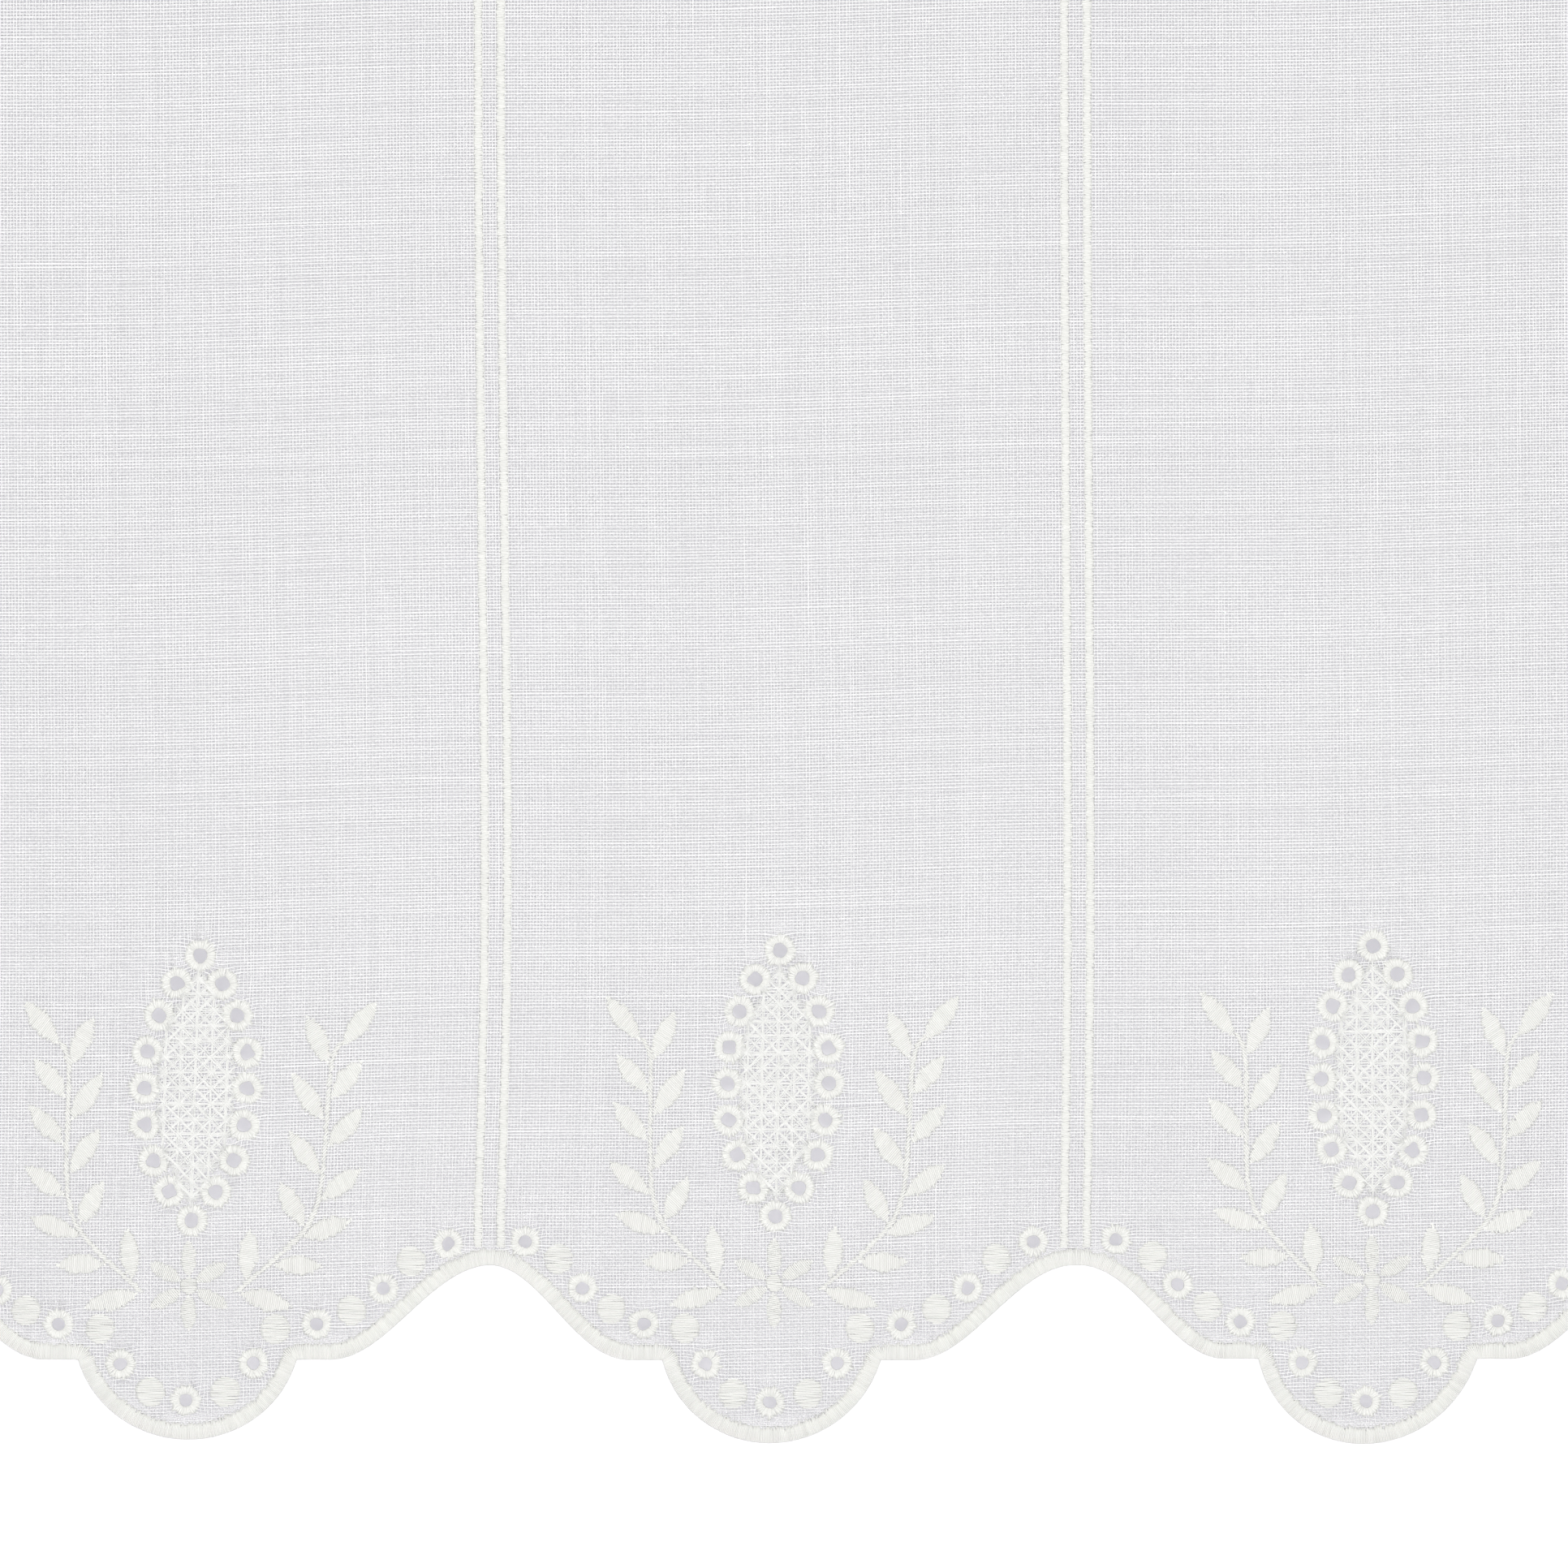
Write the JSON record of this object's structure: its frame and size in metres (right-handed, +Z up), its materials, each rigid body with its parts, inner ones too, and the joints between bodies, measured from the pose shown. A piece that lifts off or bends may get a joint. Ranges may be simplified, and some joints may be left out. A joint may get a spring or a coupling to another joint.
{
  "type": "cafe curtain",
  "caption": "Flat hanging cafe curtain of open white cloth with embroidered leaf sprays, bored eyelets and a scalloped stitched hem.",
  "frame": {"origin": "middle of the top edge, half-way through the cloth's thickness", "axes": "+X across the curtain to the right as seen from its embroidered face, +Y towards its back, +Z up"},
  "size_m": [0.48, 0.0025, 0.4497],
  "materials": {
    "open_weave_cloth": "white plain weave, open between the yarns, matte",
    "embroidery_thread": "warm white satin-stitched thread, soft sheen"
  },
  "bodies": {
    "root": {"embroidered_panel": "open_weave_cloth"}
  },
  "joints": []
}
